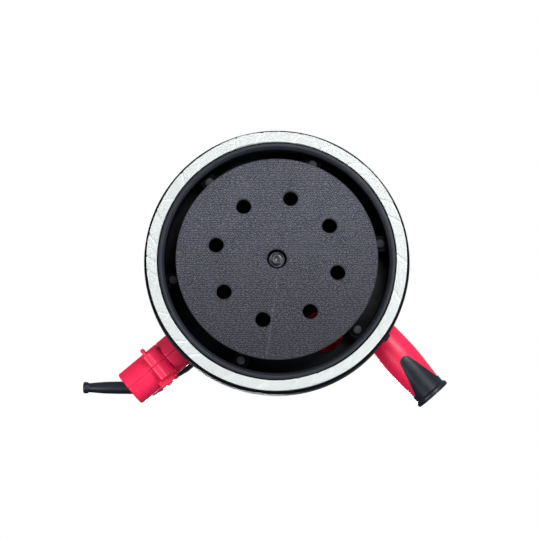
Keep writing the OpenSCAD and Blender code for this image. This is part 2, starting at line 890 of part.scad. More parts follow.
module trigger_spring() {
    color(steel) main_frame() translate([95, 0, 0]) coil_spring(2.6, 0.4, 122.6, 128.9, 3);
}

// Lock-on button on the side of the main handle
module lock_button() {
    color(black) main_frame(main_z) translate([88, 0, 0])
        rotate([0, 0, 180]) rotate([-90, 0, 0]) rotate_extrude()
            polygon([[0, 11.9], [7, 11.9], [7, 13], [5.5, 13], [5.5, 20.4], [4.7, 21.2], [0, 21.2]]);
}

module speed_dial() {
    color(black) main_frame() translate([dial_at[0], 0, dial_at[1]]) difference() {
        rod_y(dial_r, -3.6, 3.6);
        rod_y(2.1, -5, 5);
        for (i = [0 : 23])
            rotate([0, i * 15, 0]) translate([dial_r + 0.4, 0, 0]) rod_y(1, -5, 5);
    }
}

module dial_axle() {
    color(steel) main_frame() translate([dial_at[0], 0, dial_at[1]]) rod_y(2.03, -9.5, 9.5);
}

module trigger_switch() {
    color(rubber_black) main_frame() {
        translate([switch_x[0], -9, 129]) cube([switch_x[1] - switch_x[0], 18, 17]);
        for (x = [85, 94]) translate([x, -3, 146]) cube([4, 6, 3]);
    }
}

module control_board() {
    color([0.10, 0.35, 0.20]) main_frame() {
        translate([112, -11, 142]) cube([44, 22, 1.6]);
        for (x = [118, 132, 146]) translate([x, -5, 143.6]) cube([8, 9, 5]);
    }
}

// ---- Cable boot ----

module cable_boot() {
    tip = boot_x + boot_len;
    color(rubber_black) translate([0, boot_y, main_z]) difference() {
        turn_x(concat(
            [[0, 146.5], [7.5, 146.5], [7.5, 149.5], [7.1, 149.5], [7.1, boot_x + 6],
                [6.7, tip - 26], [5.4, tip - 8.6], [5.2, tip - 6.4]],
            arc(4.5, tip - 4, 2, -60, 0, 3), arc(4.5, tip - 2, 2, 0, 75, 4), [[0, tip]]
        ));
        rod_x(cable_d / 2, 145, tip + 1);
    }
}

// ---- Auxiliary handle ----

module handle_bracket() {
    gap = 0.2;
    color(black) difference() {
        union() {
            ring(barrel_r + gap, barrel_r + 6.5, aux_z - 11, aux_z + 11);
            aux_frame() turn_x([
                [0, 0], [14, 0], [14, 50], [16, 56], [16, 65], [14.5, 66.3], [0, 66.3]
            ]);
            rotate(main_a + 180) translate([barrel_r + 2, -9, aux_z - 10]) cube([18, 18, 20]);
        }
        translate([0, 0, aux_z - 30]) cylinder(r = barrel_r + gap, h = 60);
        aux_frame() rod_x(5.05, 51, 70);
        rotate(main_a + 180) {
            translate([barrel_r - 2, -1.25, aux_z - 30]) cube([30, 2.5, 60]);
            translate([barrel_r + lug_screw, 0, aux_z]) rod_y(2.6, -12, 12);
        }
    }
}

module bracket_screw() {
    color(steel) rotate(main_a + 180) translate([barrel_r + lug_screw, 0, aux_z]) {
        rod_y(2.5, -9.5, 9.5);
        difference() {
            rod_y(4.4, 9.05, 13.6);
            translate([0, 10.6, 0]) rotate([-90, 0, 0]) cylinder(d = 4.6, h = 5, $fn = 6);
        }
        translate([0, -9.05, 0]) rotate([90, 0, 0]) cylinder(d = 9.2, h = 4, $fn = 6);
    }
}

module aux_stud() {
    color(steel) aux_frame() rod_x(5, 52, 112);
}

// Outline of the auxiliary handle as [radius, distance] pairs
aux_outline = [
    [15.4, 66.8], [17.6, 68.5], [18.6, 71], [18.6, 76], [17.2, 80], [16.8, 90], [17.2, 106],
    [18.1, 122], [19.0, 138], [19.7, 152], [20.0, 164], [19.7, 176], [18.9, 190], [17.9, 202],
    [17.2, 210]
];

function grown(points, d) = [for (p = points) [p[0] + d, p[1]]];

module aux_handle_body() {
    color(red) aux_frame() difference() {
        turn_x(concat([[0, 66.8]], aux_outline, [[17.2, 214], [0, 214]]));
        rod_x(5.05, 66, 114);
    }
}

// Soft end of the grip: a flanged cap with a tongue on the upper and lower sides
module aux_grip() {
    lip = aux_end - 6;
    color(rubber_black) aux_frame() {
        difference() {
            turn_x([
                [0, 206], [18.3, 206], [18.0, lip - 1], [20.0, lip + 1], [20.6, lip + 3],
                [20.4, aux_end - 0.8], [19.6, aux_end], [0, aux_end]
            ]);
            turn_x(concat([[0, 200]], grown(aux_outline, 0.05), [[17.25, 214.05], [0, 214.05]]));
        }
        for (s = [-1, 1]) intersection() {
            difference() {
                turn_x(concat([[0, 160]], grown([for (p = aux_outline) if (p[1] > 150) p], 0.8),
                    [[18.0, 212], [0, 212]]));
                turn_x(concat([[0, 66]], grown(aux_outline, 0.05), [[17.25, 214.05], [0, 214.05]]));
            }
            translate([0, 0, s > 0 ? 0 : -30]) linear_extrude(30) hull() {
                translate([172, 0]) circle(r = 7.3, $fn = 32);
                translate([206.5, -16.5]) square([1, 33]);
            }
        }
    }
}

hook_sheet();
foam_pad();
backing_plate();
pad_washer();
pad_bolt();
pad_spindle();
pad_bearing_inner();
pad_bearing_outer();
eccentric_hub();
counterweight();
rotor_shaft();
lower_bearing_inner();
lower_bearing_outer();
upper_bearing_inner();
upper_bearing_outer();
cooling_fan();
armature_core();
armature_windings();
commutator();
bearing_bracket();
stator_core();
field_coils();
brush_holders();
carbon_brushes();
brush_caps();
hood();
pad_brake_ring();
brush_ring_carrier();
bristles();
ring_screws();
ring_springs();
duct_left_shell();
duct_right_shell();
duct_screws();
adapter_left_shell();
adapter_right_shell();
hose_socket();
adapter_screw();
housing_left();
housing_right();
housing_screws();
main_screws();
top_cap();
cap_screws();
handle_grip();
trigger();
trigger_pin();
trigger_spring();
lock_button();
speed_dial();
dial_axle();
trigger_switch();
control_board();
cable_boot();
handle_bracket();
bracket_screw();
aux_stud();
aux_handle_body();
aux_grip();
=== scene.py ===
"""Looks of the two-handled orbital wall sander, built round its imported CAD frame."""
import json
import math

import bmesh
import bpy
import numpy as np
from mathutils import Matrix, Vector
from mathutils.geometry import delaunay_2d_cdt


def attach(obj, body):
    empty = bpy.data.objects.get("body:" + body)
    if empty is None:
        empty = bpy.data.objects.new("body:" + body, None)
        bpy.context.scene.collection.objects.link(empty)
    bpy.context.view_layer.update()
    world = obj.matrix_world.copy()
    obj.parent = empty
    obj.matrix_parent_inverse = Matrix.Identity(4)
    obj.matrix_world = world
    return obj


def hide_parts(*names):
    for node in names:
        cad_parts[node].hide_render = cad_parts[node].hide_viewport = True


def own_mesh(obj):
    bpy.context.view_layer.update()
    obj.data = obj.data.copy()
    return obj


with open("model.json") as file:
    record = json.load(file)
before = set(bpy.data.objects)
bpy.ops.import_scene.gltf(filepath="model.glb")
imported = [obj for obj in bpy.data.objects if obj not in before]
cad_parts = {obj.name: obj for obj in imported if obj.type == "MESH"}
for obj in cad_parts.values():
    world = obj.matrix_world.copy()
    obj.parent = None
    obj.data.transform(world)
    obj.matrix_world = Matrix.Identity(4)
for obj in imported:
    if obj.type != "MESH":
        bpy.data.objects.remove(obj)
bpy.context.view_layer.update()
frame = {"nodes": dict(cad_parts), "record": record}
scene = bpy.context.scene
MM = 0.001

# Sizes that the looks need, in millimetres and degrees, as in the CAD model
PAD_R = 106.8
PAD_AXIS_Y = 1.5
HOLE_R = 8.2
HOLE_CIRCLE_R = 66.0
HOLE_START = 12.8
RECESS_R = 10.7
SEAM_X = -4.2
SEAM_TURN = 8.4
GROUND_Z = 0.85
LIP_R = 118.8
BRISTLE_IN = 126.8
BRISTLE_OUT = 137.9
BRISTLE_TIP = 0.3
BRISTLE_TOP = 15.9
CARRIER_R = 139.0
CARRIER_TOP = 22.0
POST_R = 112.0
POST_TURNS = (-10, 50, 110, 170, -139.6, -70)
EAR_R = 8.3
SHOULDER_R = 3.0
MAIN_TURN = -40.0
MAIN_Z = 138.0
TUBE_Z = 64.5
TUBE_R = 20.2
AUX_TURN = -131.2
AUX_OFFSET = 40.0
AUX_Z = 105.0

# Seam, nap and partings of the fabric and bristles, in millimetres
SEAM_HALF_GAP = 0.15
NAP_CLEAR_OF_EDGES = 0.95
NAP_CLEAR_OF_SEAM = 0.55
HOOK_SHEET_TOP = 1.8
PARTING_DEPTH = 4.6
PARTING_WIDTH = 1.0
PARTING_PUSH = 0.35
PARTING_REACH = 1.3

# Soft black end of the auxiliary handle: a round tongue that widens towards the flange
TONGUE_X = 172.0
TONGUE_R = 7.3
TONGUE_HALF_WIDTH = 7.4
TONGUE_WIDENING = 0.264
TONGUE_END = 206.0

# The main handle's sleeve: the stretch with grooves, and the groove pattern
GROOVED_FROM = (110.0, 112.0)
GROOVED_TO = (145.0, 148.0)
SLEEVE_R = 20.0
GROOVE_PITCH = 4.4
GROOVE_DEPTH = 0.35

# Camera, in degrees, millimetres and metres
CAMERA_TILT = 6.8
CAMERA_TARGET = (7.3, -10.9, 0.0)
CAMERA_DISTANCE = 1.6
CAMERA_LENS = 101.2

# Surround, in metres and as a light's strength
FLOOR_Z = -0.0004
FLOOR_HALF_SIDE = 14.0
AMBIENT = 0.5
DARKEST_AMBIENT = 0.07
BRIGHT_SIDE = (-0.35, 0.85, -0.25)
PLASTIC_EDGE = 0.0005
METAL_EDGE = 0.0003


# ---- Node materials ----

def node(tree, kind, inputs=None, **settings):
    """Adds a node. An input's value is a number, a colour or another node's socket."""
    made = tree.nodes.new(kind)
    for key, value in settings.items():
        setattr(made, key, value)
    for key, value in (inputs or {}).items():
        if isinstance(value, bpy.types.NodeSocket):
            tree.links.new(value, made.inputs[key])
        else:
            made.inputs[key].default_value = value
    return made


def start_material(name, roughness, metallic=0.0, **shader):
    """A Principled material, and where its textures are placed: metres in the part's frame."""
    material = bpy.data.materials.new(name)
    material.use_nodes = True
    tree = material.node_tree
    principled = tree.nodes["Principled BSDF"]
    principled.inputs["Roughness"].default_value = roughness
    principled.inputs["Metallic"].default_value = metallic
    for key, value in shader.items():
        principled.inputs[key.replace("_", " ")].default_value = value
    place = tree.nodes.new("ShaderNodeTexCoord").outputs["Object"]
    return material, tree, principled, place


def noise(tree, place, scale, detail=3.0, roughness=0.5):
    made = node(tree, "ShaderNodeTexNoise", {"Vector": place, "Scale": scale, "Detail": detail,
                                             "Roughness": roughness})
    return made.outputs["Fac"]


def ramp(tree, value, low, high, out_low=0.0, out_high=1.0):
    made = node(tree, "ShaderNodeMapRange", {"Value": value, "From Min": low, "From Max": high,
                                             "To Min": out_low, "To Max": out_high})
    return made.outputs["Result"]


def mix_colour(tree, share, first, second):
    made = node(tree, "ShaderNodeMix", data_type="RGBA")
    for socket, value in ((0, share), (6, first), (7, second)):
        if isinstance(value, bpy.types.NodeSocket):
            tree.links.new(value, made.inputs[socket])
        else:
            made.inputs[socket].default_value = value
    return made.outputs[2]


def bump(tree, height, distance, strength=1.0, under=None):
    made = node(tree, "ShaderNodeBump", {"Height": height, "Distance": distance, "Strength": strength})
    if under is not None:
        tree.links.new(under, made.inputs["Normal"])
    return made.outputs["Normal"]


def round_edges(tree, radius):
    return node(tree, "ShaderNodeBevel", {"Radius": radius}, samples=6).outputs["Normal"]


def rgba(red, green, blue):
    return (red, green, blue, 1.0)


def moulded_plastic(name, light, dark, roughness, grain=0.00006, grain_scale=1900.0, dirt=0.16,
                    painted_recess_shade=False):
    """Spark-eroded mould grain, faint flow marks, scuffs a little glossier, dust; where asked, painted shade
    darkens the colour and dims the specular in deep recesses.
    """
    material, tree, principled, place = start_material(name, roughness)
    flow = noise(tree, place, 14.0, 4.0)
    dust = noise(tree, place, 260.0, 5.0, 0.7)
    colour = mix_colour(tree, ramp(tree, flow, 0.35, 0.65), dark, light)
    colour = mix_colour(tree, ramp(tree, dust, 0.62, 0.85, 0.0, dirt), colour, rgba(0.45, 0.44, 0.42))
    if painted_recess_shade:
        # Painted shade: an occlusion mask darkens the base colour and dims the specular in deep recesses.
        depth = node(tree, "ShaderNodeAmbientOcclusion", {"Distance": 0.035}, samples=8).outputs["AO"]
        clear_of_painted_shade = ramp(tree, depth, 0.42, 0.80)
        colour = mix_colour(tree, clear_of_painted_shade, rgba(0.0015, 0.0015, 0.002), colour)
        tree.links.new(ramp(tree, clear_of_painted_shade, 0.0, 1.0, 0.03, 0.34), principled.inputs["Specular IOR Level"])
    tree.links.new(colour, principled.inputs["Base Color"])
    scuffs = noise(tree, place, 60.0, 6.0, 0.65)
    tree.links.new(ramp(tree, scuffs, 0.3, 0.7, roughness - 0.07, roughness + 0.08),
                   principled.inputs["Roughness"])
    fine = noise(tree, place, grain_scale, 2.0)
    normal = bump(tree, fine, grain, 0.5, round_edges(tree, PLASTIC_EDGE))
    tree.links.new(normal, principled.inputs["Normal"])
    return material


def metal(name, light, dark, roughness, turned=0.0, grain=900.0):
    """Metal with fine turning rings or casting grain and slight tarnish."""
    material, tree, principled, place = start_material(name, roughness, 1.0)
    tarnish = noise(tree, place, 120.0, 5.0, 0.6)
    tree.links.new(mix_colour(tree, ramp(tree, tarnish, 0.35, 0.7), light, dark),
                   principled.inputs["Base Color"])
    tree.links.new(ramp(tree, tarnish, 0.3, 0.75, roughness - 0.06, roughness + 0.12),
                   principled.inputs["Roughness"])
    height = noise(tree, place, grain, 2.0)
    if turned:
        rings = node(tree, "ShaderNodeTexWave", {"Vector": place, "Scale": turned, "Distortion": 0.6},
                     wave_type="BANDS", bands_direction="Z")
        height = rings.outputs["Fac"]
    normal = bump(tree, height, 0.00005, 0.5, round_edges(tree, METAL_EDGE))
    tree.links.new(normal, principled.inputs["Normal"])
    return material


def foam_material():
    """Black closed-cell foam, its cells a little paler inside."""
    material, tree, principled, place = start_material("pad foam", 0.9)
    cells = node(tree, "ShaderNodeTexVoronoi", {"Vector": place, "Scale": 1500.0}).outputs["Distance"]
    tree.links.new(mix_colour(tree, ramp(tree, cells, 0.1, 0.6), rgba(0.020, 0.020, 0.026),
                              rgba(0.120, 0.120, 0.150)), principled.inputs["Base Color"])
    tree.links.new(bump(tree, cells, 0.0003, 0.8), principled.inputs["Normal"])
    return material


def painted_shade_towards_minus_y(tree, place):
    """Share of painted shade on the nap: it grows towards -Y, so the pad is darker towards that side."""
    height = node(tree, "ShaderNodeSeparateXYZ", {"Vector": place}).outputs["Y"]
    return ramp(tree, height, 0.05, -0.09, 0.0, 0.85)


def weave_material():
    """Ground weave of the hook sheet: ribs along X, with yarns across them."""
    material, tree, principled, place = start_material("hook weave", 0.75, Sheen_Weight=0.3)
    across = node(tree, "ShaderNodeMapping", {"Vector": place, "Scale": (1.0, 1.0, 0.0)}).outputs["Vector"]
    ribs = node(tree, "ShaderNodeTexWave", {"Vector": across, "Scale": 196.0, "Distortion": 0.5,
                                            "Detail": 1.0, "Detail Scale": 3.0},
                wave_type="BANDS", bands_direction="Y").outputs["Fac"]
    yarns = node(tree, "ShaderNodeTexWave", {"Vector": across, "Scale": 390.0, "Distortion": 0.8},
                 wave_type="BANDS", bands_direction="X").outputs["Fac"]
    height = node(tree, "ShaderNodeMath", {0: ribs, 1: yarns}, operation="MULTIPLY").outputs["Value"]
    patches = noise(tree, place, 40.0, 4.0)
    colour = mix_colour(tree, ramp(tree, height, 0.0, 0.7), rgba(0.010, 0.010, 0.015),
                        rgba(0.060, 0.060, 0.082))
    colour = mix_colour(tree, ramp(tree, patches, 0.4, 0.7, 0.0, 0.25), colour, rgba(0.10, 0.10, 0.12))
    # Painted shade: the weave is darkened towards the pad's -Y side.
    colour = mix_colour(tree, painted_shade_towards_minus_y(tree, place), colour, rgba(0.003, 0.003, 0.005))
    tree.links.new(colour, principled.inputs["Base Color"])
    tree.links.new(bump(tree, height, 0.0003, 0.9), principled.inputs["Normal"])
    return material


def tuft_material():
    """Nylon hook tufts: pale where light catches their tops, each one a slightly different grey."""
    material, tree, principled, place = start_material("hook tufts", 0.55, Sheen_Weight=0.25)
    shade = noise(tree, place, 620.0, 2.0)
    patches = noise(tree, place, 22.0, 3.0)
    colour = mix_colour(tree, ramp(tree, shade, 0.32, 0.68), rgba(0.080, 0.078, 0.112),
                        rgba(0.235, 0.230, 0.305))
    colour = mix_colour(tree, ramp(tree, patches, 0.35, 0.7, 0.0, 0.35), colour, rgba(0.09, 0.09, 0.115))
    # Painted shade: the tufts are darkened towards the pad's -Y side.
    colour = mix_colour(tree, ramp(tree, painted_shade_towards_minus_y(tree, place), 0.0, 1.0, 0.0, 0.75), colour,
                        rgba(0.035, 0.035, 0.052))
    tree.links.new(colour, principled.inputs["Base Color"])
    fibres = noise(tree, node(tree, "ShaderNodeMapping", {"Vector": place, "Scale": (1.0, 4.0, 4.0)})
                   .outputs["Vector"], 1500.0, 2.0)
    tree.links.new(bump(tree, fibres, 0.0002, 0.7), principled.inputs["Normal"])
    return material


def strand_material(name, light, dark, roughness):
    """Nylon strands: each one a slightly different shade."""
    material, tree, principled, place = start_material(name, roughness)
    shade = noise(tree, place, 700.0, 2.0)
    tree.links.new(mix_colour(tree, ramp(tree, shade, 0.35, 0.65), dark, light),
                   principled.inputs["Base Color"])
    return material


def copper_material():
    """Enamelled wire: fine turns round Z under varnish."""
    material, tree, principled, place = start_material("copper winding", 0.3, 1.0, Coat_Weight=0.6)
    turns = node(tree, "ShaderNodeTexWave", {"Vector": place, "Scale": 320.0, "Distortion": 1.5},
                 wave_type="BANDS", bands_direction="Z").outputs["Fac"]
    tree.links.new(mix_colour(tree, turns, rgba(0.35, 0.12, 0.05), rgba(0.85, 0.42, 0.22)),
                   principled.inputs["Base Color"])
    tree.links.new(bump(tree, turns, 0.0003, 0.8), principled.inputs["Normal"])
    return material


def lamination_material():
    """Stacked steel sheets, seen as fine bands across Z."""
    material, tree, principled, place = start_material("laminations", 0.4, 1.0)
    sheets = node(tree, "ShaderNodeTexWave", {"Vector": place, "Scale": 310.0},
                  wave_type="BANDS", bands_direction="Z").outputs["Fac"]
    tree.links.new(mix_colour(tree, sheets, rgba(0.12, 0.11, 0.11), rgba(0.45, 0.45, 0.47)),
                   principled.inputs["Base Color"])
    tree.links.new(bump(tree, sheets, 0.0001, 0.7), principled.inputs["Normal"])
    return material


RED_LIGHT, RED_DARK = rgba(0.96, 0.014, 0.085), rgba(0.86, 0.010, 0.068)
SLOT_MATERIALS = {
    "red_shell": moulded_plastic("red nylon", RED_LIGHT, RED_DARK, 0.42, 0.00001, dirt=0.05),
    # Black nylon gets painted shade in its deep recesses.
    "black_shell": moulded_plastic("black nylon", rgba(0.015, 0.017, 0.026), rgba(0.009, 0.010, 0.016), 0.48,
                                   0.00004, painted_recess_shade=True),
    "soft_black": moulded_plastic("black elastomer", rgba(0.008, 0.010, 0.018), rgba(0.005, 0.006, 0.012),
                                  0.40, 0.00005, 1300.0),
    "inner_plastic": moulded_plastic("inner plastic", rgba(0.06, 0.06, 0.065), rgba(0.04, 0.04, 0.045), 0.5),
    "pad_foam": foam_material(),
    "hook_fabric": weave_material(),
    "bristle": strand_material("white bristles", rgba(0.82, 0.832, 0.805), rgba(0.77, 0.79, 0.765), 0.55),
    "cast_metal": metal("cast aluminium", rgba(0.66, 0.67, 0.69), rgba(0.45, 0.46, 0.48), 0.42, grain=1500.0),
    "lamination": lamination_material(),
    "copper": copper_material(),
    "brass": metal("brass", rgba(0.80, 0.62, 0.28), rgba(0.55, 0.40, 0.18), 0.35),
    "carbon": moulded_plastic("graphite", rgba(0.05, 0.05, 0.05), rgba(0.03, 0.03, 0.03), 0.6),
    "circuit_board": moulded_plastic("solder mask", rgba(0.02, 0.16, 0.07), rgba(0.015, 0.12, 0.05), 0.3),
    "steel": metal("zinc plated steel", rgba(0.72, 0.73, 0.76), rgba(0.48, 0.49, 0.52), 0.28, turned=600.0),
}
TUFT_MATERIAL = tuft_material()
THREAD_MATERIAL = strand_material("seam threads", rgba(0.30, 0.30, 0.34), rgba(0.08, 0.08, 0.10), 0.6)
DULL_STEEL = metal("dulled steel", rgba(0.075, 0.075, 0.085), rgba(0.05, 0.05, 0.06), 0.72)
BLACK_STEEL = metal("blackened steel", rgba(0.11, 0.11, 0.12), rgba(0.08, 0.08, 0.09), 0.40, grain=300.0)
WASHER_STEEL = metal("washer steel", rgba(0.40, 0.40, 0.43), rgba(0.32, 0.32, 0.34), 0.40, grain=300.0)
for row in frame["record"]["subparts"]:
    cad = frame["nodes"][row["node"]]
    cad.data.materials.clear()
    cad.data.materials.append(SLOT_MATERIALS[row["material_slot"]])


# ---- Mesh tools ----

def add_piece(name, points, faces, slot, body, nodes=(), sharp=38.0):
    """A piece from points in millimetres, with its finish, its body and the CAD nodes it stands for."""
    mesh = bpy.data.meshes.new(name)
    mesh.from_pydata((np.asarray(points, float) * MM).tolist(), [], faces)
    return finish_piece(name, mesh, slot, body, nodes, sharp)


def finish_piece(name, mesh, slot, body, nodes=(), sharp=38.0):
    """Cleans a mesh and makes it a piece, with edges over the sharp angle kept crisp."""
    tidy = bmesh.new()
    tidy.from_mesh(mesh)
    bmesh.ops.remove_doubles(tidy, verts=tidy.verts, dist=2e-6)
    bmesh.ops.dissolve_degenerate(tidy, edges=tidy.edges, dist=1e-7)
    bmesh.ops.recalc_face_normals(tidy, faces=tidy.faces)
    tidy.to_mesh(mesh)
    tidy.free()
    mesh.shade_smooth()
    mesh.set_sharp_from_angle(angle=math.radians(sharp))
    mesh.materials.clear()
    mesh.materials.append(SLOT_MATERIALS[slot])
    made = bpy.data.objects.new(name, mesh)
    scene.collection.objects.link(made)
    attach(made, body)
    if nodes:
        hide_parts(*nodes)
    return made


def softened(name, nodes, voxel, rounds, slot, body, carve=None):
    """The CAD nodes' own shape as one fine skin, with its edges rounded as moulded parts are."""
    joined = bmesh.new()
    for cad_name in nodes:
        joined.from_mesh(frame["nodes"][cad_name].data)
    bmesh.ops.remove_doubles(joined, verts=joined.verts, dist=1e-6)
    rough = bpy.data.meshes.new(name + "_rough")
    joined.to_mesh(rough)
    joined.free()
    shaped = bpy.data.objects.new(name + "_rough", rough)
    scene.collection.objects.link(shaped)
    remesh = shaped.modifiers.new("remesh", "REMESH")
    remesh.mode = "VOXEL"
    remesh.voxel_size = voxel * MM
    smooth = shaped.modifiers.new("smooth", "SMOOTH")
    smooth.factor = 0.5
    smooth.iterations = rounds
    shaped_now = shaped.evaluated_get(bpy.context.evaluated_depsgraph_get())
    mesh = bpy.data.meshes.new_from_object(shaped_now)
    mesh.name = name
    bpy.data.objects.remove(shaped)
    bpy.data.meshes.remove(rough)
    if carve:
        places = np.empty(len(mesh.vertices) * 3)
        mesh.vertices.foreach_get("co", places)
        places = carve(places.reshape(-1, 3) / MM) * MM
        mesh.vertices.foreach_set("co", places.ravel())
    return finish_piece(name, mesh, slot, body, nodes, 75.0)


def grid_faces(rows, columns, close_rows=False):
    """Quads of a grid whose columns join up in a circle."""
    faces = []
    for i in range(rows if close_rows else rows - 1):
        for j in range(columns):
            k, m = (i + 1) % rows, (j + 1) % columns
            faces.append((i * columns + j, i * columns + m, k * columns + m, k * columns + j))
    return faces


def lathe(outline, steps=256):
    """Points and faces of a closed outline of (radius, height) pairs turned round Z."""
    angles = np.linspace(0.0, 2 * np.pi, steps, endpoint=False)
    points = [(r * np.cos(angles), r * np.sin(angles), np.full(steps, z)) for r, z in outline]
    return np.stack(points).transpose(0, 2, 1).reshape(-1, 3), grid_faces(len(outline), steps, True)


def rounded(corners, steps=5):
    """A closed outline with round corners: each corner is (radius, height, rounding)."""
    outline = []
    for i, (x, y, rounding) in enumerate(corners):
        corner = Vector((x, y))
        back = Vector(corners[i - 1][:2]) - corner
        ahead = Vector(corners[(i + 1) % len(corners)][:2]) - corner
        if not rounding:
            outline.append((x, y))
            continue
        reach = min(rounding / math.tan(back.angle(ahead) / 2), 0.48 * back.length, 0.48 * ahead.length)
        start, end = corner + back.normalized() * reach, corner + ahead.normalized() * reach
        for k in range(steps + 1):
            t = k / steps
            outline.append(tuple((1 - t) ** 2 * start + 2 * t * (1 - t) * corner + t * t * end))
    return outline


def plate(loops, levels, inside):
    """A flat plate cut out by closed loops of (x, y), between two heights, as points and faces."""
    corners, edges = [], []
    for loop in loops:
        base = len(corners)
        corners += [Vector(p) for p in loop]
        edges += [(base + i, base + (i + 1) % len(loop)) for i in range(len(loop))]
    flat, _, triangles, *_ = delaunay_2d_cdt(corners, edges, [], 0, 1e-5)
    kept = [t for t in triangles
            if inside(sum(flat[v].x for v in t) / len(t), sum(flat[v].y for v in t) / len(t))]
    rim = {}
    for t in kept:
        for a, b in zip(t, t[1:] + t[:1]):
            key = (min(a, b), max(a, b))
            rim[key] = None if key in rim else (a, b)
    count = len(flat)
    points = [(p.x, p.y, z) for z in levels for p in flat]
    faces = [tuple(t) for t in kept] + [tuple(v + count for v in reversed(t)) for t in kept]
    faces += [(a, b, b + count, a + count) for a, b in (e for e in rim.values() if e)]
    used = sorted({v for face in faces for v in face})
    renumber = {v: i for i, v in enumerate(used)}
    return [points[v] for v in used], [tuple(renumber[v] for v in face) for face in faces]


def smooth_line(points, places):
    """Radius at each place of a smooth curve through (radius, place) pairs."""
    radii = np.array([p[0] for p in points])
    knots = np.array([p[1] for p in points])
    slopes = np.gradient(radii, knots)
    places = np.clip(places, knots[0], knots[-1])
    i = np.clip(np.searchsorted(knots, places) - 1, 0, len(knots) - 2)
    width = knots[i + 1] - knots[i]
    t = (places - knots[i]) / width
    return ((2 * t**3 - 3 * t**2 + 1) * radii[i] + (t**3 - 2 * t**2 + t) * width * slopes[i]
            + (3 * t**2 - 2 * t**3) * radii[i + 1] + (t**3 - t**2) * width * slopes[i + 1])


def moved(points, turn, shift):
    """Points turned round Z by degrees after a shift, as the CAD model places its handles."""
    place = Matrix.Rotation(math.radians(turn), 4, "Z") @ Matrix.Translation(shift)
    place = np.array(place)
    return np.asarray(points) @ place[:3, :3].T + place[:3, 3]


def along_x(places, radii, angles):
    """Rings of points round the X axis; radii has one row for each place."""
    places = np.broadcast_to(np.asarray(places)[:, None], radii.shape)
    return np.stack([places, radii * np.cos(angles), radii * np.sin(angles)], -1).reshape(-1, 3)


def step_up(value, low, high):
    t = np.clip((value - low) / (high - low), 0.0, 1.0)
    return t * t * (3 - 2 * t)


# ---- Brush ring ----

def bristle_ring():
    """Dense nylon strands in a ring, parted along slanting lines, over a core that closes the gaps."""
    chance = np.random.default_rng(11)
    pitch, strand_r = 0.66, 0.5
    rows = []
    radii = np.arange(BRISTLE_IN + strand_r, BRISTLE_OUT - strand_r + 0.01, pitch * 0.88)
    for row, radius in enumerate(radii):
        count = int(2 * np.pi * radius / pitch)
        turns = (np.arange(count) + 0.5 * (row % 2)) * 2 * np.pi / count
        rows.append(np.stack([np.full(count, radius), turns], -1))
    roots = np.concatenate(rows)
    roots[:, 0] += chance.normal(0, 0.07, len(roots))
    roots[:, 0] = np.clip(roots[:, 0], BRISTLE_IN + strand_r, BRISTLE_OUT - strand_r)
    roots[:, 1] += chance.normal(0, 0.08, len(roots)) / roots[:, 0]
    radius, turn = roots.T
    lean_out = 0.25 * np.sin(5 * turn + 1.0) + 0.2 * np.sin(11 * turn)
    lean_round = 0.35 * np.sin(7 * turn + 0.5) + chance.normal(0, 0.08, len(roots))
    short = chance.uniform(0.0, 0.16, len(roots))
    place = 0.0
    middle = (BRISTLE_IN + BRISTLE_OUT) / 2
    while place < 2 * math.pi - 0.1:
        slope = chance.uniform(0.7, 1.2) * (-1.0 if 0.5 < place < 1.3 and chance.random() < 0.25 else 1.0)
        depth = chance.uniform(0.5, 1.0)
        apart = (turn - place + np.pi) % (2 * np.pi) - np.pi
        away = (apart * radius - slope * (radius - middle)) / math.hypot(1.0, slope)
        push = np.sign(away) * np.exp(-np.abs(away) / PARTING_REACH) * PARTING_PUSH * depth
        lean_round += push / math.hypot(1.0, slope)
        lean_out -= push * slope / math.hypot(1.0, slope)
        short += np.exp(-((away / PARTING_WIDTH) ** 2)) * PARTING_DEPTH * depth
        place += chance.uniform(0.13, 0.34)
    tip_r = np.clip(radius + lean_out, BRISTLE_IN + 0.1, BRISTLE_OUT - 0.1)
    tip_turn = turn + lean_round / radius
    twist = chance.uniform(0, 2 * np.pi, len(roots))
    points = []
    for corner in range(3):
        angle = twist + corner * 2 * np.pi / 3
        for r, a, size, z in ((radius, turn, strand_r, np.full(len(roots), BRISTLE_TOP)),
                              (tip_r, tip_turn, strand_r, BRISTLE_TIP + short)):
            points.append(np.stack([r * np.cos(a) + size * np.cos(angle),
                                    r * np.sin(a) + size * np.sin(angle), z], -1))
    points = np.stack(points, 1).reshape(-1, 3)
    faces = []
    for i in range(0, len(points), 6):
        faces += [(i, i + 1, i + 3, i + 2), (i + 2, i + 3, i + 5, i + 4), (i + 4, i + 5, i + 1, i),
                  (i + 1, i + 5, i + 3), (i, i + 2, i + 4)]
    mesh = bpy.data.meshes.new("bristle_strands")
    mesh.from_pydata((points * MM).tolist(), [], faces)
    mesh.materials.append(SLOT_MATERIALS["bristle"])
    strands = bpy.data.objects.new("bristle_strands", mesh)
    scene.collection.objects.link(strands)
    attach(strands, "brush_ring")
    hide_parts("bristles")
    core = rounded([(BRISTLE_IN + 0.3, 2.3, 1.0), (BRISTLE_OUT - 0.3, 2.3, 1.0),
                    (BRISTLE_OUT - 0.3, BRISTLE_TOP, 0), (BRISTLE_IN + 0.3, BRISTLE_TOP, 0)])
    add_piece("bristle_core", *lathe(core), "bristle", "brush_ring")


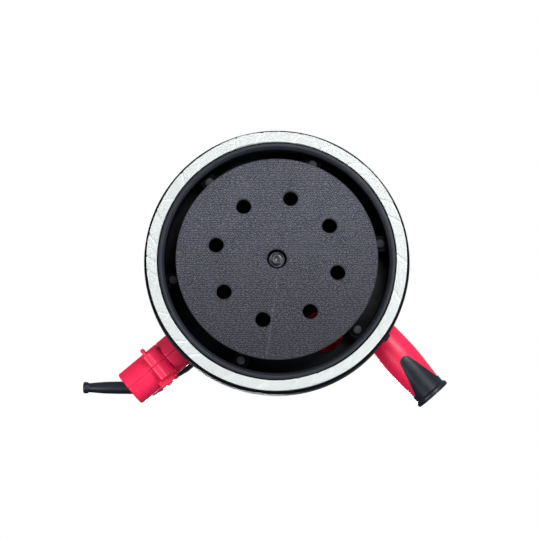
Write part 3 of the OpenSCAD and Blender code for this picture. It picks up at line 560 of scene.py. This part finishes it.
def ring_lip():
    """Brush ring carrier: a lip with a soft inner chamfer, a channel for the bristles, and six ears."""
    outline = rounded([
        (LIP_R, CARRIER_TOP, 0.5), (LIP_R, 9.0, 1.0), (LIP_R + 0.6, 5.6, 1.6), (LIP_R + 3.6, 2.9, 2.2),
        (BRISTLE_IN - 1.1, 2.85, 0.8), (BRISTLE_IN - 0.15, 4.6, 0.5), (BRISTLE_IN - 0.1, 16.0, 0),
        (BRISTLE_OUT + 0.1, 16.0, 0), (BRISTLE_OUT + 0.1, 11.0, 0.2), (CARRIER_R, 11.0, 0.3),
        (CARRIER_R, CARRIER_TOP, 0.5)
    ], 6)
    points, faces = lathe(outline, 288)
    points = points.tolist()
    for turn in POST_TURNS:
        side = [(x, y) for x, y in rounded([(-EAR_R, -EAR_R, EAR_R), (9.0, -EAR_R, 0.5),
                                            (9.0, EAR_R, 0.5), (-EAR_R, EAR_R, EAR_R)], 10)]
        bore = [((SHOULDER_R + 0.3) * math.cos(a), (SHOULDER_R + 0.3) * math.sin(a))
                for a in np.linspace(0, 2 * math.pi, 32, endpoint=False)]
        plate_points, plate_faces = plate([side, bore], [19.0, CARRIER_TOP - 0.05],
                                          lambda x, y: math.hypot(x, y) > SHOULDER_R + 0.25)
        plate_points = moved(plate_points, turn, (POST_R, 0, 0))
        base = len(points)
        points += plate_points.tolist()
        faces += [tuple(v + base for v in face) for face in plate_faces]
    return add_piece("brush_ring_lip", points, faces, "black_shell", "brush_ring",
                     ["brush_ring_carrier"])


# ---- Pad ----

def circle(x, y, radius, steps):
    return [(x + radius * math.cos(a), y + radius * math.sin(a))
            for a in np.linspace(0, 2 * math.pi, steps, endpoint=False)]


def hole_centres():
    return [(HOLE_CIRCLE_R * math.cos(a), HOLE_CIRCLE_R * math.sin(a) + PAD_AXIS_Y)
            for a in (math.radians(HOLE_START + 45 * i) for i in range(8))]


def pad_outlines():
    """The pad's rim, recess and dust holes."""
    loops = [circle(0, PAD_AXIS_Y, PAD_R, 288), circle(0, PAD_AXIS_Y, RECESS_R, 72)]
    return loops + [circle(x, y, HOLE_R, 56) for x, y in hole_centres()]


def on_pad(x, y, margin=0.0):
    """Whether points are on the pad's face, clear of its rim, recess and holes by a margin."""
    x, y = np.asarray(x), np.asarray(y)
    from_axis = np.hypot(x, y - PAD_AXIS_Y)
    on = (from_axis < PAD_R - margin) & (from_axis > RECESS_R + margin)
    for cx, cy in hole_centres():
        on = on & (np.hypot(x - cx, y - cy) > HOLE_R + margin)
    return on


def from_seam(x, y):
    """Signed distance from the seam between the two halves of the hook sheet."""
    turn = math.radians(SEAM_TURN)
    return (np.asarray(x) - SEAM_X) * math.cos(turn) + (np.asarray(y) - PAD_AXIS_Y) * math.sin(turn)


def hook_face():
    """The hook sheet: a ground weave in two halves, with rows of short hook tufts on its lower face."""
    turn = math.radians(SEAM_TURN)
    along = Vector((-math.sin(turn), math.cos(turn)))
    middle = Vector((SEAM_X, PAD_AXIS_Y))
    across = Vector((math.cos(turn), math.sin(turn)))
    strip = [tuple(middle + across * a * SEAM_HALF_GAP + along * b * 130)
             for a, b in ((-1, -1), (1, -1), (1, 1), (-1, 1))]
    points, faces = plate(pad_outlines() + [strip], [GROUND_Z, HOOK_SHEET_TOP],
                          lambda x, y: bool(on_pad(x, y)) and abs(float(from_seam(x, y))) > 0.14)
    weave = add_piece("hook_sheet_weave", points, faces, "hook_fabric", "pad", ["hook_sheet"])

    chance = np.random.default_rng(5)
    pitch_x, pitch_y = 2.5, 1.95
    rows, columns = int(2 * PAD_R / pitch_y) + 1, int(2 * PAD_R / pitch_x) + 1
    j, i = np.meshgrid(np.arange(rows), np.arange(columns), indexing="ij")
    x = (-PAD_R + (i + 0.5 * (j % 2)) * pitch_x).ravel() + chance.normal(0, 0.38, rows * columns)
    y = (PAD_AXIS_Y - PAD_R + j * pitch_y).ravel() + chance.normal(0, 0.30, rows * columns)
    kept = on_pad(x, y, NAP_CLEAR_OF_EDGES) & (np.abs(from_seam(x, y)) > NAP_CLEAR_OF_SEAM)
    x, y = x[kept], y[kept]
    count = len(x)
    length = chance.uniform(0.70, 1.10, count)
    width = chance.uniform(0.38, 0.56, count)
    height = chance.uniform(0.45, 0.78, count)
    turned = chance.normal(0, 0.22, count)
    loose = chance.random(count) < 0.03
    turned[loose] += chance.normal(0, 0.9, loose.sum())
    tufts = []
    for u in (-1.0, -0.6, 0.0, 0.6, 1.0):
        swell = math.sqrt(1 - 0.92 * u * u)
        for v in (-1.0, 0.0, 1.0):
            px, py = u * length, v * width * swell
            pz = np.full(count, GROUND_Z + 0.1) if v else GROUND_Z - height * swell
            tufts.append(np.stack([x + px * np.cos(turned) - py * np.sin(turned),
                                   y + px * np.sin(turned) + py * np.cos(turned), pz], -1))
    points = np.stack(tufts, 1).reshape(-1, 3)
    faces = [(b + 3 * s + t, b + 3 * s + t + 1, b + 3 * s + t + 4, b + 3 * s + t + 3)
             for b in range(0, 15 * count, 15) for s in range(4) for t in range(2)]
    mesh = bpy.data.meshes.new("hook_tufts")
    mesh.from_pydata((points * MM).tolist(), [], faces)
    mesh.shade_smooth()
    mesh.materials.append(TUFT_MATERIAL)
    tufts = bpy.data.objects.new("hook_tufts", mesh)
    scene.collection.objects.link(tufts)
    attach(tufts, "pad")

    steps = np.arange(-PAD_R + 1.5, PAD_R - 1.5, 0.62)
    fray_points, fray_faces = [], []
    for step in steps:
        for side in (-1, 1):
            start = middle + along * (step + chance.normal(0, 0.2)) + across * side * 0.2
            if not on_pad(start.x, start.y, 0.6):
                continue
            lean = chance.normal(0, 0.9)
            end = start + (across * side * math.cos(lean) + along * math.sin(lean)) * chance.uniform(0.5, 1.4)
            aside = (end - start).orthogonal().normalized() * 0.17
            base = len(fray_points)
            tip_z = GROUND_Z - chance.uniform(0.25, 0.6)
            for p, z in ((start - aside, GROUND_Z + 0.05), (start + aside, GROUND_Z + 0.05),
                         (start, GROUND_Z - 0.25), (end - aside * 0.6, tip_z + 0.12),
                         (end + aside * 0.6, tip_z + 0.12), (end, tip_z)):
                fray_points.append((p.x, p.y, z))
            fray_faces += [(base, base + 2, base + 5, base + 3), (base + 2, base + 1, base + 4, base + 5),
                           (base + 1, base, base + 3, base + 4), (base + 3, base + 5, base + 4),
                           (base, base + 1, base + 2)]
    fray = add_piece("hook_seam_threads", fray_points, fray_faces, "hook_fabric", "pad")
    fray.data.materials[0] = THREAD_MATERIAL


def foam():
    """Cellular foam body of the pad, its rim drawn in a little at the bonded top edge."""
    def cells(points):
        height = points[:, 2]
        from_axis = np.hypot(points[:, 0], points[:, 1] - PAD_AXIS_Y)
        free = np.clip(np.minimum(height - 2.0, 11.7 - height) / 1.5, 0, 1)
        wave = (np.sin(2.3 * points[:, 0] + 1.1 * height) * np.sin(2.1 * points[:, 1] - 1.7 * height)
                * np.sin(2.6 * height + 0.8 * points[:, 0]))
        shift = (0.22 * wave - 0.35 * free) * free
        outward = np.stack([points[:, 0], points[:, 1] - PAD_AXIS_Y], -1) / np.maximum(from_axis, 1)[:, None]
        rim = (from_axis > PAD_R - 4)[:, None]
        points[:, :2] += np.where(rim, outward * shift[:, None], 0)
        return points

    made = softened("foam_body", ["foam_pad"], 0.95, 2, "pad_foam", "pad", cells)


def bolt_and_washer():
    """Centre bolt with a turned, chamfered head, hex socket and bevelled washer."""
    washer = rounded([(3.4, 11.1, 0.1), (6.0, 11.1, 0.3), (7.0, 10.35, 0.4), (7.6, 10.05, 0.5),
                      (8.1, 10.4, 0.3), (8.1, 11.75, 0.3), (3.4, 11.75, 0.1)], 5)
    points, faces = lathe(washer, 96)
    made = add_piece("pad_washer_turned", points + np.array((0, PAD_AXIS_Y, 0)), faces, "steel", "pad",
                     ["pad_washer"])
    made.data.materials[0] = WASHER_STEEL
    steps = 96
    angles = np.linspace(0, 2 * np.pi, steps, endpoint=False)
    hexagon = 2.5 / np.cos((angles + np.pi / 6) % (np.pi / 3) - np.pi / 6)
    rings = [(0.0 * angles, 8.0), (hexagon * 0.55, 8.0), (hexagon * 0.97, 7.4), (hexagon, 5.2),
             (hexagon + 0.1, 4.75), (0 * angles + 3.35, 4.42), (0 * angles + 3.6, 4.55),
             (0 * angles + 3.85, 4.3), (0 * angles + 4.5, 4.22), (0 * angles + 5.05, 4.45),
             (0 * angles + 5.4, 4.95), (0 * angles + 5.5, 5.5), (0 * angles + 5.5, 9.6),
             (0 * angles + 5.35, 9.95), (0 * angles + 3.0, 9.98), (0 * angles + 3.0, 37.5),
             (0 * angles, 37.5)]
    points = np.concatenate([np.stack([r * np.cos(angles), r * np.sin(angles) + PAD_AXIS_Y,
                                       np.full(steps, z)], -1) for r, z in rings])
    bolt = add_piece("pad_bolt_turned", points, grid_faces(len(rings), steps), "steel", "pad", ["pad_bolt"],
                     30.0)
    bolt.data.materials[0] = BLACK_STEEL


def post_screws():
    """Six shoulder screws with low domed heads that carry the brush ring."""
    outline = rounded([(0.0, 15.32, 0), (3.2, 15.42, 1.0), (4.55, 15.9, 0.6), (4.6, 18.9, 0.25),
                       (3.0, 18.9, 0.1), (3.0, 33.3, 0.2), (2.4, 33.4, 0), (2.4, 41.0, 0), (0.0, 41.0, 0)], 4)
    points, faces = [], []
    ring_points, ring_faces = lathe(outline, 48)
    for turn in POST_TURNS:
        base = len(points)
        points += moved(ring_points, turn, (POST_R, 0, 0)).tolist()
        faces += [tuple(v + base for v in face) for face in ring_faces]
    made = add_piece("ring_post_screws", points, faces, "steel", "housing", ["ring_screws"], 30.0)
    made.data.materials[0] = DULL_STEEL


def coil(points, faces, centre, radius, wire, low, high, turns):
    """Adds a helical spring with closed ends to points and faces."""
    steps, sides = turns * 28, 8
    base = len(points)
    for i in range(steps + 1):
        share = i / steps
        rise = (low + wire + (high - low - 2 * wire) * step_up(share, 0.02, 0.98) * 0.3
                + (high - low - 2 * wire) * share * 0.7)
        a = 2 * math.pi * turns * share
        for j in range(sides):
            b = 2 * math.pi * j / sides
            r = radius + wire * math.cos(b)
            points.append((centre[0] + r * math.cos(a), centre[1] + r * math.sin(a),
                           rise + wire * math.sin(b)))
    for i in range(steps):
        for j in range(sides):
            k = (j + 1) % sides
            faces.append((base + i * sides + j, base + i * sides + k,
                          base + (i + 1) * sides + k, base + (i + 1) * sides + j))
    faces.append(tuple(base + j for j in reversed(range(sides))))
    faces.append(tuple(base + steps * sides + j for j in range(sides)))


def springs():
    """Six springs under the hood that press the brush ring down, and the trigger's return spring."""
    points, faces = [], []
    for turn in POST_TURNS:
        centre = (POST_R * math.cos(math.radians(turn)), POST_R * math.sin(math.radians(turn)))
        coil(points, faces, centre, 4.4, 0.5, 22.05, 33.4, 5)
    made = add_piece("ring_coil_springs", points, faces, "steel", "housing", ["ring_springs"])
    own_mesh(made)
    points, faces = [], []
    coil(points, faces, moved([(95, 0, 0)], MAIN_TURN, (0, 0, 0))[0], 2.6, 0.4, 122.6, 128.9, 3)
    made = add_piece("trigger_coil_spring", points, faces, "steel", "housing", ["trigger_spring"])
    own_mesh(made)


# ---- Handles and boot ----

AUX_OUTLINE = [(15.4, 66.8), (17.6, 68.5), (18.6, 71.5), (18.5, 76), (17.3, 81), (16.8, 90), (17.2, 106),
               (18.1, 122), (19.0, 138), (19.7, 152), (20.0, 164), (19.7, 176), (18.9, 190), (17.9, 202),
               (17.2, 214)]


def aux_handle():
    """Red handle with a fine parting line at each side, and its soft black end with two tongues."""
    angles = np.linspace(0, 2 * np.pi, 256, endpoint=False)
    places = np.concatenate([[66.8, 66.8, 66.8, 67.3], np.linspace(68.0, 214.0, 160), [214.0]])
    radii = smooth_line(AUX_OUTLINE, places)[:, None] * np.ones(len(angles))
    side = np.minimum(np.abs(np.sin(angles)) * 17, 5.0)
    radii -= 0.22 * (1 - step_up(side, 0.1, 0.45))
    radii[0], radii[1], radii[2], radii[-1] = 0.0, 14.0, 15.0, 0.0
    body = moved(along_x(places, radii, angles), AUX_TURN, (0, -AUX_OFFSET, AUX_Z))
    add_piece("aux_handle_shell", body, grid_faces(len(places), len(angles)), "red_shell", "housing",
              ["aux_handle_body"], 50.0)

    angles = np.linspace(0, 2 * np.pi, 320, endpoint=False)
    places = np.concatenate([[159.0], np.linspace(159.0, 212.5, 170)])
    skin = smooth_line(AUX_OUTLINE, places)[:, None] * np.ones(len(angles))
    across = np.abs(skin * np.cos(angles))
    along = places[:, None] - TONGUE_X
    straight = (TONGUE_HALF_WIDTH + along * TONGUE_WIDENING - across) * 0.967
    round_tip = TONGUE_R - np.hypot(along, across)
    within = np.where(along < -1.0, round_tip, np.maximum(straight, round_tip))
    within = np.where(places[:, None] > TONGUE_END, 5.0, within)
    raised = step_up(within, -0.1, 1.0)
    crown = 0.25 * step_up(within, 0.5, 6.0)
    radii = skin - 0.45 + (1.2 + crown) * raised
    radii[0] = 0.0
    flange = [(18.4, 212.6), (18.2, 212.9), (18.5, 213.4), (19.4, 214.2), (20.2, 214.9), (20.55, 215.7),
              (20.6, 216.6), (20.6, 218.0), (20.4, 218.8), (19.9, 219.3), (19.2, 219.5), (15.2, 219.5),
              (14.9, 219.3), (14.7, 218.8), (14.4, 218.6), (0.0, 218.6)]
    places = np.concatenate([places, [p[1] for p in flange]])
    radii = np.concatenate([radii, np.array([[p[0]] for p in flange]) * np.ones(len(angles))])
    body = moved(along_x(places, radii, angles), AUX_TURN, (0, -AUX_OFFSET, AUX_Z))
    add_piece("aux_handle_grip", body, grid_faces(len(places), len(angles)), "soft_black", "housing",
              ["aux_grip"], 60.0)


def boot():
    """Tapered rubber boot with a round bead at its end and an open bore."""
    outer = [(7.1, 156.5), (7.15, 164), (7.1, 172), (6.95, 184), (6.6, 195), (6.0, 203), (5.45, 209),
             (5.2, 212.4)]
    places = np.linspace(157.0, 212.4, 60)
    outline = list(zip(smooth_line(outer, places), places))
    outline += [(5.35, 212.9), (5.9, 213.5), (6.35, 214.2), (6.5, 215.2), (6.5, 217.2), (6.3, 218.2),
                (5.7, 218.8), (5.0, 219.0), (4.6, 218.95), (4.2, 218.6), (4.1, 218.0), (4.1, 146.7),
                (7.4, 146.7), (7.4, 149.3), (7.0, 149.6), (7.0, 156.0)]
    angles = np.linspace(0, 2 * np.pi, 96, endpoint=False)
    radii = np.array([[p[0]] for p in outline]) * np.ones(len(angles))
    points = along_x([p[1] for p in outline], radii, angles) + np.array((0.0, -129.0, MAIN_Z))
    add_piece("cable_boot_rubber", points, grid_faces(len(outline), len(angles), True), "soft_black",
              "housing", ["cable_boot"], 50.0)


def gripped(points):
    """Presses a lattice of shallow grooves into the outside of the main handle's sleeve."""
    turn = math.radians(-MAIN_TURN)
    x = points[:, 0] * math.cos(turn) - points[:, 1] * math.sin(turn)
    y = points[:, 0] * math.sin(turn) + points[:, 1] * math.cos(turn)
    z = points[:, 2] - MAIN_Z
    radius = np.hypot(y, z)
    around = np.arctan2(z, y) * SLEEVE_R
    lattice = np.minimum(np.abs(np.sin((x + around) * math.pi / GROOVE_PITCH)),
                         np.abs(np.sin((x - around) * math.pi / GROOVE_PITCH)))
    on_top = step_up(radius, 19.5, 19.9) * step_up(x, *GROOVED_FROM) * (1 - step_up(x, *GROOVED_TO))
    shrink = 1 - GROOVE_DEPTH * (1 - step_up(lattice, 0.12, 0.42)) * on_top / np.maximum(radius, 1)
    y, z = y * shrink, z * shrink
    points[:, 0] = x * math.cos(turn) + y * math.sin(turn)
    points[:, 1] = -x * math.sin(turn) + y * math.cos(turn)
    points[:, 2] = z + MAIN_Z
    return points


SHELLS = [
    ("hood_moulding", ["hood"], 1.05, 4, "black_shell", "housing"),
    ("duct_left_moulding", ["duct_left_shell"], 0.65, 8, "red_shell", "housing"),
    ("duct_right_moulding", ["duct_right_shell"], 0.65, 8, "red_shell", "housing"),
    ("adapter_left_moulding", ["adapter_left_shell"], 0.5, 12, "red_shell", "housing"),
    ("adapter_right_moulding", ["adapter_right_shell"], 0.5, 12, "red_shell", "housing"),
    ("housing_left_moulding", ["housing_left"], 0.85, 4, "red_shell", "housing"),
    ("housing_right_moulding", ["housing_right"], 0.85, 4, "red_shell", "housing"),
    ("top_cap_moulding", ["top_cap"], 0.75, 3, "black_shell", "housing"),
    ("bracket_moulding", ["handle_bracket"], 0.75, 4, "black_shell", "housing"),
    ("trigger_moulding", ["trigger"], 0.5, 3, "black_shell", "trigger"),
    ("lock_button_moulding", ["lock_button"], 0.3, 3, "black_shell", "lock_button"),
    ("speed_dial_moulding", ["speed_dial"], 0.35, 2, "black_shell", "speed_dial"),
]

bristle_ring()
ring_lip()
hook_face()
foam()
bolt_and_washer()
post_screws()
springs()
aux_handle()
boot()
for row in SHELLS:
    softened(*row)
softened("main_grip_sleeve", ["handle_grip"], 0.42, 2, "soft_black", "housing", gripped)


# ---- Camera, light and floor ----

def look_from_below():
    """A view square on to the pad from below, tilted a little towards the handles' side."""
    tilt = math.radians(CAMERA_TILT)
    target = Vector(CAMERA_TARGET) * MM
    forward = Vector((0.0, math.sin(tilt), math.cos(tilt)))
    upward = Vector((0.0, math.cos(tilt), -math.sin(tilt)))
    right = forward.cross(upward)
    data = bpy.data.cameras.new("camera")
    data.sensor_width = 36.0
    data.lens = CAMERA_LENS
    data.clip_end = 20.0
    camera = bpy.data.objects.new("camera", data)
    turn = Matrix((right, upward, -forward)).transposed().to_4x4()
    camera.matrix_world = Matrix.Translation(target - forward * CAMERA_DISTANCE) @ turn
    scene.collection.objects.link(camera)
    scene.camera = camera


def area_light(name, place, size, power, colour=(1.0, 1.0, 1.0), mirrored=True):
    data = bpy.data.lights.new(name, "AREA")
    data.size = size
    data.energy = power
    data.color = colour
    light = bpy.data.objects.new(name, data)
    light.location = place
    aim = Vector((0.0, 0.0, 0.05)) - Vector(place)
    light.rotation_mode = "QUATERNION"
    light.rotation_quaternion = aim.to_track_quat("-Z", "Y")
    light.visible_camera = False
    light.visible_glossy = mirrored
    scene.collection.objects.link(light)


def studio():
    """A white surround for the eye, a dimmer one for the light it sends, and soft boxes on all sides."""
    world = bpy.data.worlds.new("studio")
    scene.world = world
    world.use_nodes = True
    tree = world.node_tree
    background = tree.nodes["Background"]
    background.inputs["Color"].default_value = rgba(0.80, 0.89, 1.0)
    way = node(tree, "ShaderNodeTexCoord").outputs["Generated"]
    bright_side = node(tree, "ShaderNodeVectorMath", {0: way, 1: BRIGHT_SIDE},
                       operation="DOT_PRODUCT").outputs["Value"]
    strength = ramp(tree, bright_side, -0.35, 0.95, DARKEST_AMBIENT, AMBIENT)
    tree.links.new(strength, background.inputs["Strength"])
    white = node(tree, "ShaderNodeBackground", {"Color": rgba(1.0, 1.0, 1.0), "Strength": 1.0})
    seen = node(tree, "ShaderNodeLightPath").outputs["Is Camera Ray"]
    both = node(tree, "ShaderNodeMixShader", {0: seen, 1: background.outputs[0], 2: white.outputs[0]})
    tree.links.new(both.outputs[0], tree.nodes["World Output"].inputs["Surface"])
    area_light("key_below", (-0.35, 0.42, -0.95), 0.45, 9.5)
    area_light("fill_below", (0.85, -0.50, -0.85), 0.5, 9.0, (0.96, 0.98, 1.0))
    area_light("side_below", (-1.0, -0.55, -0.85), 0.5, 6.5, (0.88, 0.95, 1.0))
    area_light("key_above", (0.1, -0.15, 2.4), 0.5, 26.0)
    area_light("rim_above", (-1.5, 0.3, 1.5), 1.3, 26.0, mirrored=False)
    area_light("side_above", (1.4, -0.5, 1.5), 1.3, 22.0, mirrored=False)
    scene.view_settings.view_transform = "Standard"
    scene.view_settings.look = "None"


def floor():
    """A pale floor under the bristles. It is seen from above only, so that the view from below is clear."""
    mesh = bpy.data.meshes.new("floor")
    corners = [(x * FLOOR_HALF_SIDE, y * FLOOR_HALF_SIDE, FLOOR_Z)
               for x, y in ((-1, -1), (1, -1), (1, 1), (-1, 1))]
    mesh.from_pydata(corners, [], [(0, 1, 2, 3)])
    made = bpy.data.objects.new("floor", mesh)
    scene.collection.objects.link(made)
    material, tree, principled, place = start_material("pale floor", 0.85)
    tree.links.new(mix_colour(tree, noise(tree, place, 2.0), rgba(0.90, 0.90, 0.90), rgba(0.93, 0.93, 0.93)),
                   principled.inputs["Base Color"])
    clear = node(tree, "ShaderNodeBsdfTransparent")
    under = node(tree, "ShaderNodeNewGeometry").outputs["Backfacing"]
    both = node(tree, "ShaderNodeMixShader", {0: under, 1: principled.outputs[0], 2: clear.outputs[0]})
    tree.links.new(both.outputs[0], tree.nodes["Material Output"].inputs["Surface"])
    mesh.materials.append(material)
    made.visible_shadow = False
    made.visible_diffuse = False
    made.visible_glossy = False


look_from_below()
studio()
floor()
